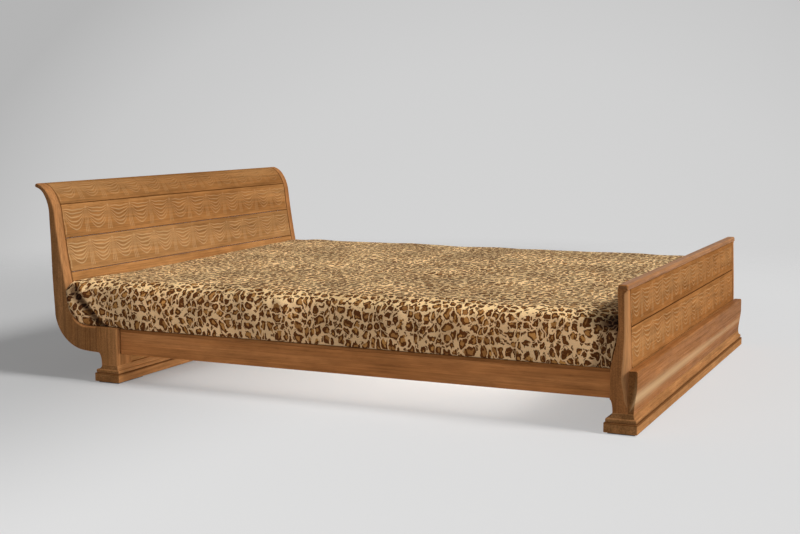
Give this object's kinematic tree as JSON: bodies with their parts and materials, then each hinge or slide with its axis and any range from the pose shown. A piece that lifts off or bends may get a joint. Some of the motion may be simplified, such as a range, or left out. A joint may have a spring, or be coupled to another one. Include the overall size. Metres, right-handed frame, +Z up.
{
  "type": "double bed",
  "caption": "Oak sleigh bed with a scrolled headboard, carved drapery swags, a low footboard and a fitted mattress in a spotted cover",
  "frame": {"origin": "on the floor, at the middle of the bed's overall length and width", "axes": "+X runs from the head to the foot, +Y to the right as seen from the foot, +Z up"},
  "size_m": [2.13, 1.66, 0.6759],
  "materials": {
    "oak": "satin",
    "carved_oak": "satin",
    "beech": "matte",
    "steel": "satin",
    "felt": "matte",
    "velvet": "matte"
  },
  "bodies": {
    "bedstead": {"head_stile_left": "oak", "head_stile_right": "oak", "head_belly_board": "oak", "head_board_base": "oak", "head_board_lower": "carved_oak", "head_board_middle": "carved_oak", "head_board_top": "carved_oak", "head_leg_left": "oak", "head_leg_right": "oak", "head_base_rail": "oak", "head_moulding": "oak", "head_plinth": "oak", "head_pad_left": "felt", "head_pad_right": "felt", "foot_stile_left": "oak", "foot_stile_right": "oak", "foot_board_lower": "carved_oak", "foot_board_upper": "carved_oak", "foot_cap_rail": "oak", "foot_base_rail": "oak", "foot_apron": "oak", "foot_moulding": "oak", "foot_plinth": "oak", "foot_pad_left": "felt", "foot_pad_right": "felt", "side_rail_left": "oak", "side_rail_right": "oak", "rail_cap_left": "oak", "rail_cap_right": "oak", "ledger_left": "beech", "ledger_right": "beech", "centre_beam": "beech", "beam_hanger_head": "steel", "beam_hanger_foot": "steel", "slat_01": "beech", "slat_02": "beech", "slat_03": "beech", "slat_04": "beech", "slat_05": "beech", "slat_06": "beech", "slat_07": "beech", "slat_08": "beech", "slat_09": "beech", "slat_10": "beech", "slat_11": "beech", "slat_12": "beech", "bracket_head_left": "steel", "bracket_head_right": "steel", "bracket_foot_left": "steel", "bracket_foot_right": "steel", "rail_bolt_head_left": "steel", "rail_bolt_head_right": "steel", "rail_bolt_foot_left": "steel", "rail_bolt_foot_right": "steel", "post_bolt_head_left": "steel", "post_bolt_head_right": "steel", "post_bolt_foot_left": "steel", "post_bolt_foot_right": "steel"},
    "mattress": {"mattress": "velvet"}
  },
  "joints": [
    {"name": "mattress_lift", "type": "slide", "parent": "bedstead", "child": "mattress", "axis": [0, 0, 1], "range_m": [0, 0.3]}
  ]
}
